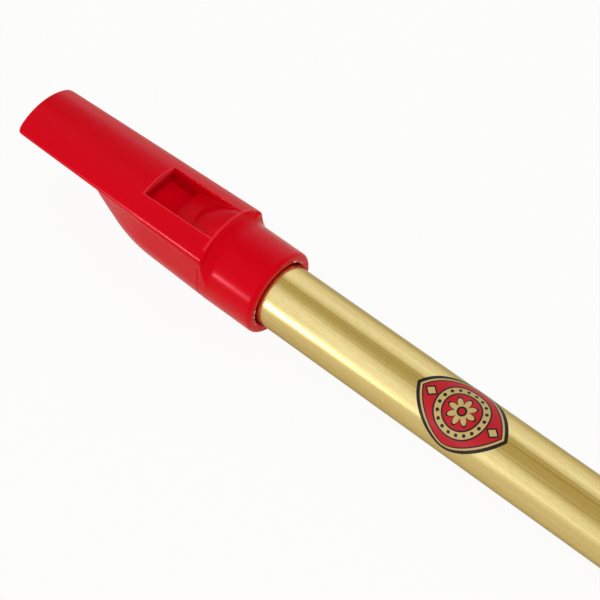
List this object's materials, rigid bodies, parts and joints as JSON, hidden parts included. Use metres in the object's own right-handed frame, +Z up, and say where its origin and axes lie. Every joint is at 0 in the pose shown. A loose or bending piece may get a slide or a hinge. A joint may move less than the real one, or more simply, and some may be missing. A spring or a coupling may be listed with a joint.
{
  "type": "flageolet",
  "caption": "Small brass flageolet with finger holes along a thin tube and a moulded plastic whistle head that slides and turns on it for tuning.",
  "frame": {"origin": "centre of the tube's open foot, on the tube's axis", "axes": "+X along the tube's axis and out of the foot, the head at -X; +Z up through the window and the finger holes; +Y completes the right-handed frame"},
  "size_m": [0.2272, 0.0138, 0.0154],
  "materials": {
    "brass_tube": "drawn and lacquered brass, satin with fine lengthwise streaks",
    "red_plastic": "moulded red plastic with a soft gloss",
    "film": "thin film of soft adhesive",
    "print": "thin printed transfer in red, black and gold"
  },
  "bodies": {
    "tube": {"tube": "brass_tube", "decal": "print"},
    "film": {"sealing_film": "film"},
    "head": {"head": "red_plastic"}
  },
  "joints": [
    {"name": "tuning_slide", "type": "slide", "parent": "tube", "child": "film", "axis": [-1, 0, 0], "range_m": [0, 0.006]},
    {"name": "head_twist", "type": "hinge", "parent": "film", "child": "head", "pos_m": [-0.1795, 0, 0], "axis": [1, 0, 0], "continuous": true}
  ]
}
